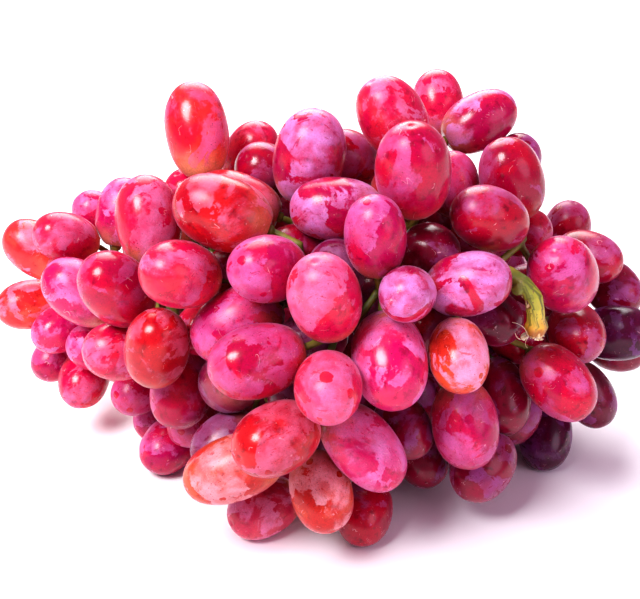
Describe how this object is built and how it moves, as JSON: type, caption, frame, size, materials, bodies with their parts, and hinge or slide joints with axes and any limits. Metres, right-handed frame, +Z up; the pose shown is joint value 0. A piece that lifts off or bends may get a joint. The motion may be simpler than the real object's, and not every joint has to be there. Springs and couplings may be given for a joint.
{
  "type": "bunch of grapes",
  "caption": "Bunch of large oval table grapes lying on its side, with a cut green stalk arching out of the packed berries.",
  "frame": {"origin": "on the table under the middle of the bunch's bounding box", "axes": "+X along the bunch from its narrow tail to its broad head, -Y the shown side, +Z up"},
  "size_m": [0.2272, 0.14, 0.1284],
  "materials": {
    "tail_skin": "waxy grape skin, bright pink-red with pale bloom",
    "mid_skin": "waxy grape skin, crimson-pink with pale bloom",
    "foot_skin": "waxy grape skin, red with cream stem ends",
    "crown_skin": "waxy grape skin, red and crimson with pale bloom",
    "head_skin": "waxy grape skin, dark burgundy with dusty bloom",
    "sprig_skin": "waxy grape skin, deep red, on thin green stalks",
    "stalk": "fresh green to brown fruit stalk"
  },
  "bodies": {
    "root": {"tail_grape_1": "tail_skin", "tail_grape_2": "tail_skin", "tail_grape_3": "tail_skin", "tail_grape_4": "tail_skin", "tail_grape_5": "tail_skin", "tail_grape_6": "tail_skin", "tail_grape_7": "tail_skin", "tail_grape_8": "tail_skin", "tail_grape_9": "tail_skin", "tail_grape_10": "tail_skin", "tail_grape_11": "tail_skin", "tail_grape_12": "tail_skin", "tail_grape_13": "tail_skin", "mid_grape_1": "mid_skin", "mid_grape_2": "mid_skin", "mid_grape_3": "mid_skin", "mid_grape_4": "mid_skin", "mid_grape_5": "mid_skin", "mid_grape_6": "mid_skin", "mid_grape_7": "mid_skin", "mid_grape_8": "mid_skin", "mid_grape_9": "mid_skin", "mid_grape_10": "mid_skin", "mid_grape_11": "mid_skin", "mid_grape_12": "mid_skin", "mid_grape_13": "mid_skin", "foot_grape_1": "foot_skin", "foot_grape_2": "foot_skin", "foot_grape_3": "foot_skin", "foot_grape_4": "foot_skin", "foot_grape_5": "foot_skin", "foot_grape_6": "foot_skin", "foot_grape_7": "foot_skin", "crown_grape_1": "crown_skin", "crown_grape_2": "crown_skin", "crown_grape_3": "crown_skin", "crown_grape_4": "crown_skin", "crown_grape_5": "crown_skin", "crown_grape_6": "crown_skin", "crown_grape_7": "crown_skin", "crown_grape_8": "crown_skin", "crown_grape_9": "crown_skin", "head_grape_1": "head_skin", "head_grape_2": "head_skin", "head_grape_3": "head_skin", "head_grape_4": "head_skin", "head_grape_5": "head_skin", "head_grape_6": "head_skin", "head_grape_7": "head_skin", "head_grape_8": "head_skin", "head_grape_9": "head_skin", "sprig_tail": "sprig_skin", "sprig_back_left": "sprig_skin", "sprig_back_right": "sprig_skin", "sprig_under_left": "sprig_skin", "sprig_under_right": "sprig_skin", "sprig_crown": "sprig_skin", "sprig_head": "sprig_skin", "sprig_face": "sprig_skin", "stem": "stalk"}
  },
  "joints": []
}
